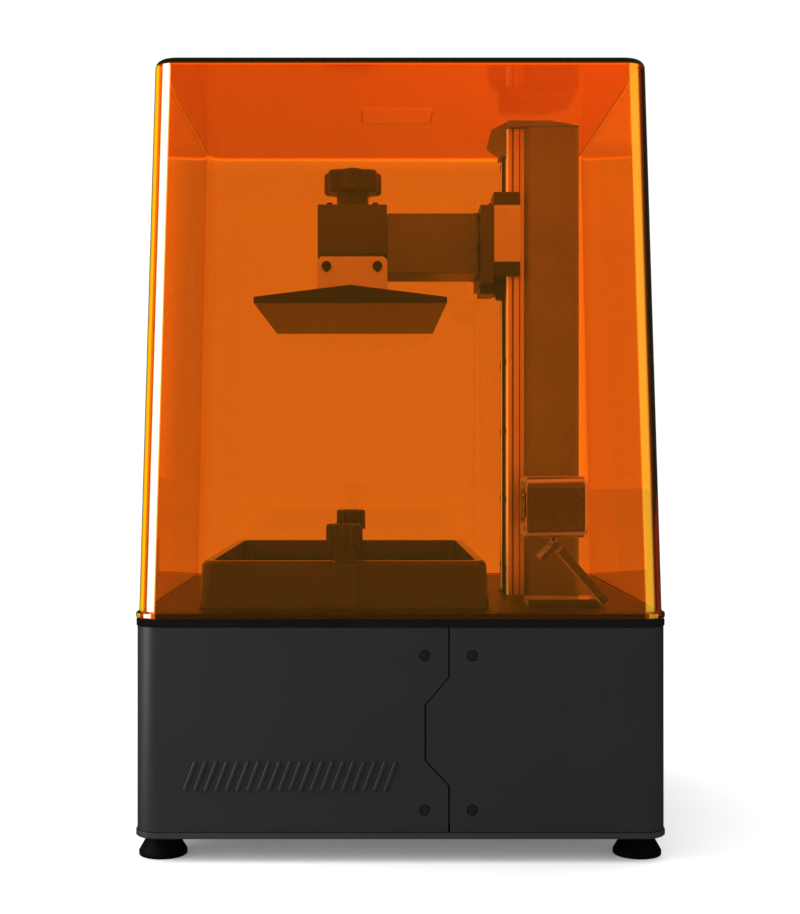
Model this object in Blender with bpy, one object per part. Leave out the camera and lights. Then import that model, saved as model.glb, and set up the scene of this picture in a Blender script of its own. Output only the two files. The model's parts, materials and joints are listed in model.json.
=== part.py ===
"""A desktop resin printer: a base with the light engine, a lift column, a vat and an orange cover.

Metres, +Z up, front towards -Y. The origin is the centre of the footprint on the surface it stands on.
"""

import math

import bmesh
import bpy
from mathutils import Matrix, Vector

# ---- driving dimensions (metres) ----
GAP = 0.0003  # between pieces that touch
BASE_X, BASE_Y = 0.194, 0.2022  # half sizes of the side shells
BASE_LOW, BASE_HIGH = 0.0235, 0.179
SHELL_WALL = 0.0025
CORNER = 0.017
PAN_X, PAN_Y = 0.195, 0.2032
PAN_LOW, PAN_FLOOR, PAN_RIM = 0.0185, 0.0205, 0.0232
DECK_TOP, DECK_UNDER = 0.1887, 0.1837
SEAM_GAP = 0.0013
COVER_LOW, COVER_FLANGE, COVER_TOP = 0.1853, 0.1895, 0.6155
COVER_WALL, COVER_ROOF = 0.003, 0.005
LIFT_Y = 0.0975  # the lead screw stands at (0, LIFT_Y)
SCREW_RADIUS, SCREW_ROOM = 0.0045, 0.0004
PLATE_Y = -0.0392  # centre of the build plate and of its clamp knob
VAT_EAR_Y = -0.0434
VAT_KNOB_X = 0.1615
SCREW_Y = (0.0182, 0.0543)
SCREW_Z = (0.1574, 0.0405)
BOLT_Y = (-0.0615, -0.0173)
BOLT_Z = 0.4737
CAMERA_X = 0.1175
FOLD = (0.1650, 0.1922)  # lower hinge of the camera stand: y and z
ELBOW = (0.1247, 0.2370)  # its upper hinge

# ---- colours: base colour, roughness, metallic, opacity ----
BLACK = (0.02, 0.02, 0.021, 0.5, 0.0, 1.0)
GREY = (0.03, 0.03, 0.031, 0.5, 0.0, 1.0)
EDGE_GREY = (0.06, 0.06, 0.06, 0.45, 0.0, 1.0)
STEEL = (0.6, 0.6, 0.6, 0.3, 1.0, 1.0)
ALUMINIUM = (0.75, 0.75, 0.76, 0.35, 1.0, 1.0)
ANODISED = (0.04, 0.04, 0.042, 0.4, 0.6, 1.0)
ORANGE = (0.95, 0.3, 0.01, 0.05, 0.0, 0.4)
GLASS = (0.02, 0.02, 0.025, 0.08, 0.0, 1.0)
BOARD = (0.02, 0.12, 0.05, 0.5, 0.0, 1.0)
FILM = (0.9, 0.9, 0.9, 0.1, 0.0, 0.5)


def clear_scene():
    for item in list(bpy.data.objects):
        bpy.data.objects.remove(item, do_unlink=True)


def material(name, look):
    made = bpy.data.materials.get(name)
    if made is None:
        made = bpy.data.materials.new(name)
        made.use_nodes = True
        shader = made.node_tree.nodes["Principled BSDF"]
        shader.inputs["Base Color"].default_value = (*look[:3], 1.0)
        shader.inputs["Roughness"].default_value = look[3]
        shader.inputs["Metallic"].default_value = look[4]
        shader.inputs["Alpha"].default_value = look[5]
        made.diffuse_color = (*look[:3], look[5])
    return made


def place(name, bm, look, origin=(0, 0, 0)):
    """Makes the object of a mesh drawn in world places, with its own origin at origin."""
    bmesh.ops.recalc_face_normals(bm, faces=bm.faces)
    bmesh.ops.translate(bm, verts=bm.verts, vec=-Vector(origin))
    mesh = bpy.data.meshes.new(name)
    bm.to_mesh(mesh)
    bm.free()
    mesh.materials.append(material(name, look))
    mesh.shade_smooth()
    mesh.set_sharp_from_angle(angle=math.radians(35))
    item = bpy.data.objects.new(name, mesh)
    item.location = origin
    bpy.context.scene.collection.objects.link(item)
    return item


def combine(item, helper, operation):
    """Joins or cuts with a helper object, which stays in the scene unrendered."""
    helper.hide_render = True
    helper.display_type = "WIRE"
    boolean = item.modifiers.new(helper.name, "BOOLEAN")
    boolean.operation = operation
    boolean.object = helper
    boolean.solver = "EXACT"


def cut(item, bm, name):
    combine(item, place(name + "_cut", bm, GREY), "DIFFERENCE")


def join(item, bm, name):
    combine(item, place(name + "_more", bm, GREY), "UNION")


# ---- outlines and solids ----


def rounded(half_x, half_y, radius, middle=(0.0, 0.0), steps=5):
    """Corner points of a rounded rectangle, anticlockwise from +X."""
    points = []
    for quarter, (side_x, side_y) in enumerate([(1, 1), (-1, 1), (-1, -1), (1, -1)]):
        centre_x = middle[0] + side_x * (half_x - radius)
        centre_y = middle[1] + side_y * (half_y - radius)
        for step in range(steps + 1):
            turn = math.radians(90 * (quarter + step / steps))
            points.append((centre_x + radius * math.cos(turn), centre_y + radius * math.sin(turn)))
    return points


def circle(radius, middle=(0.0, 0.0), steps=20):
    turns = [math.tau * step / steps for step in range(steps)]
    return [(middle[0] + radius * math.cos(a), middle[1] + radius * math.sin(a)) for a in turns]


def rectangle(low, high):
    return [(low[0], low[1]), (high[0], low[1]), (high[0], high[1]), (low[0], high[1])]


def along_z(point, height):
    return (point[0], point[1], height)


def along_x(point, height):
    return (height, point[0], point[1])


def along_y(point, height):
    return (point[0], height, point[1])


def prism(outline, low, high, axis=along_z, bm=None):
    """Extrudes a flat outline from low to high along an axis."""
    bm = bm or bmesh.new()
    face = bm.faces.new([bm.verts.new(axis(point, low)) for point in outline])
    grown = bmesh.ops.extrude_face_region(bm, geom=[face])["geom"]
    moved = [piece for piece in grown if isinstance(piece, bmesh.types.BMVert)]
    step = Vector(axis((0.0, 0.0), high)) - Vector(axis((0.0, 0.0), low))
    bmesh.ops.translate(bm, verts=moved, vec=step)
    return bm


def box(low, high, bm=None):
    return prism(rectangle(low, high), low[2], high[2], bm=bm)


def loft(rings, around=False, bm=None):
    """Joins (outline, height) rings into one skin, capped at both ends unless it runs around."""
    bm = bm or bmesh.new()
    loops = [[bm.verts.new((x, y, height)) for x, y in outline] for outline, height in rings]
    pairs = list(zip(loops, loops[1:]))
    if around:
        pairs.append((loops[-1], loops[0]))
    else:
        bm.faces.new(loops[0])
        bm.faces.new(loops[-1])
    for first, second in pairs:
        for index in range(len(first)):
            after = (index + 1) % len(first)
            bm.faces.new((first[index], first[after], second[after], second[index]))
    return bm


def turned(profile, middle, steps=24, around=False, bm=None):
    """Spins (radius, height) points about an upright axis through middle."""
    bm = bm or bmesh.new()
    verts = [bm.verts.new((middle[0] + radius, middle[1], height)) for radius, height in profile]
    edges = [bm.edges.new(pair) for pair in zip(verts, verts[1:])]
    if around:
        edges.append(bm.edges.new((verts[-1], verts[0])))
    bmesh.ops.spin(
        bm,
        geom=verts + edges,
        cent=(middle[0], middle[1], 0),
        axis=(0, 0, 1),
        angle=math.tau,
        steps=steps,
        use_merge=True,
    )
    bmesh.ops.remove_doubles(bm, verts=bm.verts, dist=1e-6)
    return bm


def rod(radius, low, high, middle, steps=20, bm=None):
    return prism(circle(radius, middle, steps), low, high, bm=bm)


# ---- base ----


def bottom_pan():
    rings = [
        (rounded(0.1925, 0.2007, CORNER - 0.001), PAN_FLOOR),
        (rounded(0.1925, 0.2007, CORNER - 0.001), PAN_RIM),
        (rounded(PAN_X, PAN_Y, CORNER + 0.001), PAN_RIM),
        (rounded(PAN_X, PAN_Y, CORNER + 0.001), PAN_LOW + 0.001),
        (rounded(PAN_X - 0.001, PAN_Y - 0.001, CORNER), PAN_LOW),
    ]
    pan = place("bottom_pan", loft(rings), EDGE_GREY)
    slots = bmesh.new()
    for index in range(6):
        middle = -0.045 + index * 0.018
        box((middle - 0.004, PLATE_Y - 0.048, 0.015), (middle + 0.004, PLATE_Y + 0.042, 0.022), slots)
    cut(pan, slots, "fan_slots")


def seam_outline(side, shift):
    """The side view of one half of the shells: the seam bulges forward in the middle."""
    seam = [
        (0.0366, 0.010),
        (0.0366, 0.0589),
        (0.0187, 0.0778),
        (0.0187, 0.1200),
        (0.0366, 0.1413),
        (0.0366, 0.190),
    ]
    points = [(y + shift, z) for y, z in seam]
    return points + [(side * 0.25, 0.190), (side * 0.25, 0.010)]


def side_shells():
    for name, side in (("front_shell", -1), ("rear_shell", 1)):
        outer = rounded(BASE_X, BASE_Y, CORNER)
        inner = rounded(BASE_X - SHELL_WALL, BASE_Y - SHELL_WALL, CORNER - SHELL_WALL)
        rings = [(outer, BASE_LOW), (outer, BASE_HIGH), (inner, BASE_HIGH), (inner, BASE_LOW)]
        shell = place(name, loft(rings, around=True), GREY)
        half = prism(seam_outline(side, side * SEAM_GAP / 2), -0.22, 0.22, along_x)
        combine(shell, place(name + "_half", half, GREY), "INTERSECT")
        middle_y = SCREW_Y[0] if side < 0 else SCREW_Y[1]
        holes = bmesh.new()
        for height in SCREW_Z:
            for side_x in (-1, 1):
                prism(circle(0.0043, (middle_y, height), 16), side_x * 0.1926, side_x * 0.2, along_x, holes)
        cut(shell, holes, name + "_counterbores")
        holes = bmesh.new()
        for height in SCREW_Z:
            prism(circle(0.0022, (middle_y, height), 10), -0.2, 0.2, along_x, holes)
        cut(shell, holes, name + "_holes")
        openings = bmesh.new()
        if side < 0:
            box((-0.0608, -0.21, 0.0697), (0.0608, -0.19, 0.1463), openings)
            box((0.1175, -0.21, 0.0880), (0.1535, -0.19, 0.1120), openings)
        else:
            box((-0.1403, 0.19, 0.0397), (-0.0847, 0.21, 0.0633), openings)
            for index in range(14):
                middle = -0.06 + index * 0.0125
                box((middle - 0.0025, 0.19, 0.08), (middle + 0.0025, 0.21, 0.13), openings)
        cut(shell, openings, name + "_openings")


def top_plate():
    skirt_x, skirt_y = 0.1948, 0.203
    rings = [
        (rounded(0.1865, 0.1947, 0.012), 0.1793),
        (rounded(0.1865, 0.1947, 0.012), DECK_UNDER),
    ]
    outer = [
        (rounded(skirt_x, skirt_y, CORNER + 0.001), 0.1793),
        (rounded(skirt_x, skirt_y, CORNER + 0.001), 0.184),
        (rounded(skirt_x - 0.001, skirt_y - 0.001, CORNER), 0.185),
        (rounded(0.1888, 0.197, 0.014), 0.185),
        (rounded(0.1888, 0.197, 0.014), DECK_TOP),
    ]
    plate = place("top_plate", loft(rings[::-1] + outer), GREY)
    cutter = box((-0.1483, -0.1273, 0.1854), (0.1483, 0.0433, 0.2))
    cut(plate, cutter, "screen_rebate")
    cut(plate, box((-0.142, -0.121, 0.17), (0.142, 0.037, 0.2)), "screen_window")
    holes = rod(0.008, 0.17, 0.2, (0, LIFT_Y))
    for side in (-1, 1):
        rod(0.0034, 0.17, 0.2, (side * VAT_KNOB_X, VAT_EAR_Y), 12, holes)
    cut(plate, holes, "deck_holes")


def small_base_pieces():
    for side_x, name_x in ((-1, "left"), (1, "right")):
        bracket = prism(rectangle((0.008, 0.030), (0.066, 0.168)), side_x * 0.1892, side_x * 0.1912, along_x)
        bracket = place("side_bracket_" + name_x, bracket, STEEL)
        holes = bmesh.new()
        for middle_y in SCREW_Y:
            for height in SCREW_Z:
                hole = circle(0.0023, (middle_y, height), 10)
                prism(hole, side_x * 0.18, side_x * 0.2, along_x, holes)
                number = 1 + 2 * SCREW_Y.index(middle_y) + SCREW_Z.index(height)
                shank = rotated_screw(side_x, middle_y, height)
                place(f"panel_screw_{name_x}_{number}", shank, BLACK, (side_x * 0.19, middle_y, height))
        cut(bracket, holes, "bracket_holes_" + name_x)
        for side_y, name_y in ((-1, "front"), (1, "rear")):
            middle = (side_x * 0.165, side_y * 0.184)
            profile = [(0, 0), (0.0182, 0), (0.0187, 0.0005), (0.0187, 0.004), (0.0107, 0.0182), (0, 0.0182)]
            place(f"leveling_foot_{name_y}_{name_x}", turned(profile, middle, 20), BLACK, (*middle, 0))


def rotated_screw(side_x, middle_y, height):
    """A pan-head screw whose axis lies along X, head outwards."""
    profile = [(0, 0.0105), (0.0033, 0.0105), (0.0037, 0.0102), (0.0037, 0.0096), (0.002, 0.0096)]
    profile += [(0.002, 0.0), (0, 0.0)]
    bm = turned(profile, (0, 0), 12)
    turn = Matrix.Rotation(side_x * math.pi / 2, 4, "Y")
    bmesh.ops.transform(bm, matrix=turn, verts=bm.verts)
    bmesh.ops.translate(bm, verts=bm.verts, vec=(side_x * 0.1832, middle_y, height))
    return bm


def light_engine():
    screen = box((-0.148, -0.127, 0.1857), (0.148, 0.043, DECK_TOP))
    place("lcd_screen", screen, GLASS)
    wide = rounded(0.150, 0.088, 0.006, (0, -0.042), 1)
    wide_in = rounded(0.1475, 0.0855, 0.004, (0, -0.042), 1)
    narrow = rounded(0.062, 0.062, 0.006, (0, -0.042), 1)
    narrow_in = rounded(0.0595, 0.0595, 0.004, (0, -0.042), 1)
    rings = [(wide, 0.1834), (wide, 0.180), (narrow, 0.097), (narrow_in, 0.097), (wide_in, 0.180)]
    rings.append((wide_in, 0.1834))
    place("uv_light_housing", loft(rings, around=True), BLACK)
    array = box((-0.055, -0.097, 0.0951), (0.055, 0.013, 0.0967))
    array = place("uv_led_array", array, ALUMINIUM)
    lamps = bmesh.new()
    for column in range(4):
        for row in range(4):
            x, y = -0.036 + 0.024 * column, -0.078 + 0.024 * row
            box((x - 0.005, y - 0.005, 0.096), (x + 0.005, y + 0.005, 0.0995), lamps)
    join(array, lamps, "lamps")
    sink = place("led_heatsink", box((-0.060, -0.102, 0.0885), (0.060, 0.018, 0.0948)), ALUMINIUM)
    fins = bmesh.new()
    for index in range(11):
        middle = -0.055 + 0.011 * index
        box((middle - 0.0012, -0.100, 0.0600), (middle + 0.0012, 0.016, 0.090), fins)
    join(sink, fins, "fins")


def fan():
    middle = (0.0, -0.042)
    frame = prism(rounded(0.060, 0.060, 0.006, middle, 2), 0.0340, 0.0590)
    frame = place("fan_frame", frame, BLACK)
    cut(frame, rod(0.0575, 0.03, 0.07, middle, 32), "fan_bore")
    struts = bmesh.new()
    box((-0.060, -0.044, 0.0340), (0.060, -0.040, 0.0370), struts)
    join(frame, struts, "fan_strut")
    legs = bmesh.new()
    for side_x in (-1, 1):
        for side_y in (-1, 1):
            rod(0.004, 0.0208, 0.036, (side_x * 0.053, middle[1] + side_y * 0.053), 8, legs)
    join(frame, legs, "fan_legs")
    rotor = place("fan_rotor", rod(0.020, 0.0375, 0.0575, middle, 20), BLACK, (*middle, 0.047))
    blades = bmesh.new()
    for index in range(7):
        blade = prism(rectangle((0.017, -0.001), (0.0545, 0.001)), -0.009, 0.009)
        lean = Matrix.Rotation(math.radians(35), 4, "X")
        spin = Matrix.Rotation(math.tau * index / 7, 4, "Z")
        bmesh.ops.transform(blade, matrix=Matrix.Translation((*middle, 0.0475)) @ spin @ lean, verts=blade.verts)
        copy = bpy.data.meshes.new("blade")
        blade.to_mesh(copy)
        blade.free()
        blades.from_mesh(copy)
    join(rotor, blades, "blades")


def electronics():
    board = place("mainboard", box((-0.175, 0.060, 0.0300), (-0.065, 0.165, 0.0316)), BOARD)
    parts = box((-0.165, 0.070, 0.031), (-0.135, 0.090, 0.046))
    box((-0.120, 0.100, 0.031), (-0.095, 0.125, 0.038), parts)
    box((-0.165, 0.135, 0.031), (-0.115, 0.150, 0.042), parts)
    for side_x in (-0.170, -0.070):
        for side_y in (0.065, 0.160):
            rod(0.003, 0.0208, 0.031, (side_x, side_y), 8, parts)
    join(board, parts, "board_parts")
    supply = box((0.055, 0.078, PAN_FLOOR + GAP), (0.165, 0.188, 0.0600))
    place("power_supply", supply, ALUMINIUM)
    panel = prism(rounded(0.0605, 0.038, 0.003, (0, 0.108), 2), -0.2027, -0.1920, along_y)
    place("touchscreen", panel, GLASS)
    port = place("usb_port", box((0.1178, -0.2024, 0.0883), (0.1532, -0.182, 0.1117)), BLACK)
    cut(port, box((0.1293, -0.21, 0.0974), (0.1417, -0.186, 0.1026)), "usb_slot")
    inlet = box((-0.140, 0.178, 0.040), (-0.085, 0.2026, 0.063))
    inlet = place("power_inlet", inlet, BLACK)
    cut(inlet, box((-0.1373, 0.186, 0.0432), (-0.1127, 0.21, 0.0598)), "inlet_socket")
    cut(inlet, box((-0.0996, 0.188, 0.0412), (-0.0864, 0.21, 0.0618)), "switch_pocket")
    pivot = (0.196, 0.0515)
    rocker = [(0.0046, -0.0092), (0.003, 0.0), (0.0046, 0.0092), (-0.003, 0.0085), (-0.003, -0.0085)]
    tilt = math.radians(7)
    turned_points = []
    for y, z in rocker:
        across = y * math.cos(tilt) - z * math.sin(tilt)
        up = y * math.sin(tilt) + z * math.cos(tilt)
        turned_points.append((pivot[0] + across, pivot[1] + up))
    switch = prism(turned_points, -0.0990, -0.0870, along_x)
    place("power_switch", switch, BLACK, (-0.093, *pivot))


# ---- lift ----


def lift_drive():
    half = 0.021
    motor = prism(rounded(half, half, 0.004, (0, LIFT_Y), 1), 0.1000, 0.1480)
    motor = place("z_motor", motor, BLACK)
    join(motor, rod(0.011, 0.147, 0.1500, (0, LIFT_Y), 20), "motor_pilot")
    join(motor, rod(0.0025, 0.147, 0.1640, (0, LIFT_Y), 12), "motor_shaft")
    low, plate_top, wall = 0.1483, 0.1513, 0.003
    outline = [(-0.025, low), (0.025, low), (0.025, 0.1834), (0.025 - wall, 0.1834)]
    outline += [(0.025 - wall, plate_top), (wall - 0.025, plate_top), (wall - 0.025, 0.1834), (-0.025, 0.1834)]
    bracket = prism(outline, LIFT_Y - 0.022, LIFT_Y + 0.022, along_y)
    bracket = place("motor_bracket", bracket, STEEL)
    cut(bracket, rod(0.0114, 0.14, 0.16, (0, LIFT_Y), 20), "bracket_bore")
    bore = SCREW_RADIUS + SCREW_ROOM
    profile = [(0.0028, 0.1530), (0.0028, 0.1650), (bore, 0.1655), (bore, 0.1780)]
    profile += [(0.0115, 0.1780), (0.0125, 0.1770), (0.0125, 0.1540), (0.0115, 0.1530)]
    middle = (0, LIFT_Y)
    place("shaft_coupler", turned(profile, middle, 20, around=True), ALUMINIUM, (*middle, 0.165))
    place("lead_screw", rod(SCREW_RADIUS, 0.1660, 0.5900, middle, 16), BLACK, (*middle, 0.166))


def column_and_rails():
    outer = rounded(0.042, 0.0235, 0.006, (0, 0.1335), 3)
    inner = rounded(0.039, 0.0205, 0.003, (0, 0.1335), 3)
    rings = [(outer, 0.1890), (outer, 0.5930), (inner, 0.5930), (inner, 0.1890)]
    place("column", loft(rings, around=True), ANODISED)
    slab = [(0.157, 0.5933), (0.1545, 0.5942), (0.132, 0.5983), (0.0945, 0.5983), (0.0945, 0.5933)]
    cap = place("column_cap", prism(slab, -0.042, 0.042, along_x), ANODISED)
    hood = [(0.0855, 0.5694), (0.0771, 0.5758), (0.0813, 0.5918), (0.0935, 0.5983), (0.0955, 0.5983)]
    hood += [(0.0955, 0.5933), (0.0942, 0.5933), (0.0942, 0.5694)]
    join(cap, prism(hood, 0.0300, 0.0340, along_x), "cap_hood")
    core = box((-0.0185, 0.0910, 0.5740), (0.0185, 0.1096, 0.5960))
    join(cap, core, "cap_core")
    cut(cap, rod(SCREW_RADIUS + SCREW_ROOM, 0.56, 0.5905, (0, LIFT_Y), 16), "cap_bearing")
    for side, name in ((-1, "left"), (1, "right")):
        inner_x, outer_x, groove = 0.0195, 0.0345, 0.0012
        half = [(outer_x, 0.0946), (outer_x, 0.0990), (outer_x - groove, 0.0994), (outer_x - groove, 0.1008)]
        half += [(outer_x, 0.1012), (outer_x, 0.1097)]
        middle = (inner_x + outer_x) / 2
        outline = half + [(2 * middle - x, y) for x, y in reversed(half)]
        outline = [(side * x, y) for x, y in outline]
        place("rail_" + name, prism(outline, 0.1890, 0.5927), STEEL)
        block = [(0.010, 0.083), (0.044, 0.083), (0.044, 0.1056), (0.0350, 0.1056), (0.0350, 0.0942)]
        block += [(0.0190, 0.0942), (0.0190, 0.1056), (0.010, 0.1056)]
        block = [(side * x, y) for x, y in block]
        place("carriage_block_" + name, prism(block, 0.4646, 0.5361), ALUMINIUM)


def carriage():
    plate = box((-0.045, 0.0713, 0.4587), (0.045, 0.0827, 0.5251))
    place("carriage_plate", plate, ANODISED)
    nut = place("lead_nut", rod(0.0098, 0.4480, 0.4640, (0, LIFT_Y), 20), BLACK)
    join(nut, box((-0.0098, 0.0830, 0.4512), (0.0098, 0.0965, 0.4640)), "nut_arm")
    join(nut, box((-0.020, 0.0728, 0.4512), (0.020, 0.0852, 0.4584)), "nut_foot")
    cut(nut, rod(SCREW_RADIUS + SCREW_ROOM, 0.44, 0.47, (0, LIFT_Y), 16), "nut_bore")
    arm = place("arm", box((-0.030, -0.0087, 0.4680), (0.030, 0.0670, 0.5203)), ANODISED)
    join(arm, box((-0.033, 0.0660, 0.4680), (0.033, 0.0710, 0.5203)), "arm_flange")
    head = place("arm_head", box((-0.030, -0.0694, 0.4845), (0.030, -0.0090, 0.5281)), ANODISED)
    slot = [(-0.012, 0.480), (0.012, 0.480), (0.012, 0.494), (0.020, 0.494)]
    slot += [(0.020, 0.506), (-0.020, 0.506), (-0.020, 0.494), (-0.012, 0.494)]
    cut(head, prism(slot, -0.075, -0.012, along_y), "head_slot")
    cut(head, rod(0.0054, 0.50, 0.54, (0, PLATE_Y), 16), "head_bore")


def clamp():
    middle = (0, PLATE_Y)
    place("clamp_pad", rod(0.008, 0.5013, 0.5033, middle, 16), STEEL, (*middle, 0.5023))
    collar = [(0, 0.5036), (0.005, 0.5036), (0.005, 0.5284), (0.014, 0.5284), (0.014, 0.5416)]
    collar += [(0.012, 0.5430), (0, 0.5430)]
    knob = place("plate_knob", turned(collar, middle, 20), BLACK, (*middle, 0.5036))
    lobes = []
    for step in range(42):
        turn = math.tau * step / 42
        radius = 0.0238 + 0.0022 * math.cos(7 * turn)
        lobes.append((radius * math.cos(turn), PLATE_Y + radius * math.sin(turn)))

    def scaled(share):
        return [(x * share, PLATE_Y + (y - PLATE_Y) * share) for x, y in lobes]

    rings = [(scaled(0.90), 0.5416), (scaled(1), 0.5440), (scaled(1), 0.5585), (scaled(0.92), 0.5613)]
    join(knob, loft(rings), "knob_head")


def plate_group():
    stem = [(-0.0307, 0.4496), (0.0307, 0.4496), (0.0307, 0.4841), (0.0116, 0.4841), (0.0116, 0.4946)]
    stem += [(0.0196, 0.4946), (0.0196, 0.5010), (-0.0196, 0.5010), (-0.0196, 0.4946)]
    stem += [(-0.0116, 0.4946), (-0.0116, 0.4841), (-0.0307, 0.4841)]
    carrier = place("plate_carrier", prism(stem, -0.0692, -0.0125, along_y), ANODISED)
    holes = bmesh.new()
    for middle_y in BOLT_Y:
        prism(circle(0.0028, (middle_y, BOLT_Z), 12), -0.05, 0.05, along_x, holes)
    cut(carrier, holes, "carrier_holes")
    ridge, front, rear = (PLATE_Y, 0.4451), (-0.0695, 0.4414), (-0.0087, 0.4414)
    top = [(-0.0087, 0.4790), (-0.0118, 0.4821), (-0.0664, 0.4821), (-0.0695, 0.4790)]
    outline = [front, ridge, rear] + top
    bracket = prism(outline, 0.0310, 0.0340, along_x)
    bracket = place("plate_bracket", bracket, ALUMINIUM)
    join(bracket, prism(outline, -0.0340, -0.0310, along_x), "bracket_side")
    base = [(-0.0695, 0.4452), (-0.0087, 0.4452), (-0.0087, 0.4480), (-0.0695, 0.4480)]
    join(bracket, prism(base, -0.0325, 0.0325, along_x), "bracket_base")
    holes = bmesh.new()
    for middle_y in BOLT_Y:
        drop = [(0.0038 * math.cos(a), 0.0038 * math.sin(a)) for a in arc_turns(-30, 210, 10)]
        drop.append((0, -0.0056))
        drop = [(middle_y + y, BOLT_Z + z) for y, z in drop]
        prism(drop, -0.05, 0.05, along_x, holes)
    cut(bracket, holes, "bracket_slots")
    for index, middle_y in enumerate(BOLT_Y):
        bolt = bolt_across(middle_y, BOLT_Z)
        place(f"plate_bolt_{index + 1}", bolt, BLACK, (0, middle_y, BOLT_Z))
    edge = [(-0.116, 0.4302), (0.0376, 0.4302), (0.0376, 0.4352), (PLATE_Y, 0.4448), (-0.116, 0.4352)]
    place("build_plate", prism(edge, -0.1408, 0.1408, along_x), ANODISED)


def arc_turns(low, high, steps):
    return [math.radians(low + (high - low) * step / steps) for step in range(steps + 1)]


def bolt_across(middle_y, height):
    profile = [(0, -0.0383), (0.0042, -0.0383), (0.0042, -0.0343), (0.0024, -0.0343)]
    profile += [(0.0024, 0.0343), (0.0042, 0.0343), (0.0042, 0.0383), (0, 0.0383)]
    bm = turned(profile, (0, 0), 12)
    bmesh.ops.transform(bm, matrix=Matrix.Rotation(math.pi / 2, 4, "Y"), verts=bm.verts)
    bmesh.ops.translate(bm, verts=bm.verts, vec=(0, middle_y, height))
    return bm


# ---- vat ----


def vat_group():
    middle = (0, (-0.156 + 0.0681) / 2)
    half_x, half_y, radius = 0.153, (0.156 + 0.0681) / 2, 0.012
    inner_x, inner_y = half_x - 0.008, half_y - 0.008

    def ring(x, y, height, corner=radius):
        return (rounded(x, y, corner, middle, 3), height)

    rings = [
        ring(half_x + 0.0028, half_y + 0.0028, 0.1892),
        ring(half_x + 0.0005, half_y + 0.0005, 0.2235),
        ring(half_x - 0.002, half_y - 0.002, 0.2263),
        ring(inner_x, inner_y, 0.2263, 0.008),
        ring(inner_x - 0.002, inner_y - 0.002, 0.1900, 0.008),
        ring(inner_x - 0.002, inner_y - 0.002, 0.1892, 0.008),
    ]
    vat = place("vat", loft(rings, around=True), ALUMINIUM)
    for side in (-1, 1):
        inner, outer = side * 0.150, side * 0.1715
        ear = box((min(inner, outer), -0.0524, 0.1895), (max(inner, outer), -0.0344, 0.2262))
        join(vat, ear, f"ear_{side + 1}")
        centre = side * VAT_KNOB_X
        slot = box((centre - 0.0036, -0.0474, 0.18), (centre + 0.0036, -0.03, 0.24))
        cut(vat, slot, f"ear_slot_{side + 1}")
    film = rounded(inner_x - 0.0023, inner_y - 0.0023, 0.0077, middle, 3)
    place("vat_film", prism(film, 0.1891, 0.1897), FILM)
    for side, name in ((-1, "left"), (1, "right")):
        centre = (side * VAT_KNOB_X, VAT_EAR_Y)
        collar = [(0, 0.1860), (0.0030, 0.1860), (0.0030, 0.2267), (0.009, 0.2267), (0.009, 0.2380)]
        collar.append((0, 0.2380))
        knob = place("vat_knob_" + name, turned(collar, centre, 16), BLACK, (*centre, 0.2267))
        rings = []
        for share, height in ((0.93, 0.2366), (1.0, 0.2380), (1.0, 0.2540), (0.9, 0.2560)):
            outline = []
            for step in range(24):
                turn = math.tau * step / 24
                radius = share * (0.01425 if step % 2 else 0.0134)
                outline.append((centre[0] + radius * math.cos(turn), centre[1] + radius * math.sin(turn)))
            rings.append((outline, height))
        join(knob, loft(rings), "vat_knob_head_" + name)


# ---- cover ----


def cover():
    slope = (0.1928 - 0.1818) / (COVER_TOP - COVER_FLANGE)

    def wall(height, inset=0.0, corner=0.018):
        drawn_in = slope * (height - COVER_FLANGE) + inset
        return (rounded(0.1928 - drawn_in, 0.2010 - drawn_in, corner - inset, steps=6), height)

    round_edge = 0.0065
    recess = rounded(0.029, 0.030, 0.008, steps=6)
    rim = rounded(0.0305, 0.0315, 0.009, steps=6)
    rings = [(recess, COVER_TOP - 0.0005), (rim, COVER_TOP)]
    for turn in arc_turns(90, 0, 4):
        height = COVER_TOP - round_edge + round_edge * math.sin(turn)
        rings.append(wall(height, round_edge - round_edge * math.cos(turn)))
    flange = rounded(0.195, 0.2032, 0.0185, steps=6)
    foot_inner = rounded(0.1893, 0.1975, 0.0145, steps=6)
    rings += [wall(COVER_FLANGE), (flange, COVER_FLANGE), (flange, COVER_LOW), (foot_inner, COVER_LOW)]
    rings.append(wall(0.194, COVER_WALL))
    inner_top = COVER_TOP - COVER_ROOF
    for turn in arc_turns(0, 90, 2):
        height = inner_top - 0.002 + 0.002 * math.sin(turn)
        rings.append(wall(height, COVER_WALL + 0.002 - 0.002 * math.cos(turn)))
    place("cover", loft(rings), ORANGE)


# ---- monitoring camera on its folding stand ----


def link_between(start, end, half_width, half_thick):
    """A flat bar in the YZ plane from start to end, with square ends."""
    along = (Vector(end) - Vector(start)).normalized()
    side = Vector((-along.y, along.x)) * half_thick
    outline = [Vector(start) + side, Vector(start) - side, Vector(end) - side, Vector(end) + side]
    return prism([tuple(point) for point in outline], CAMERA_X - half_width, CAMERA_X + half_width, along_x)


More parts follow.
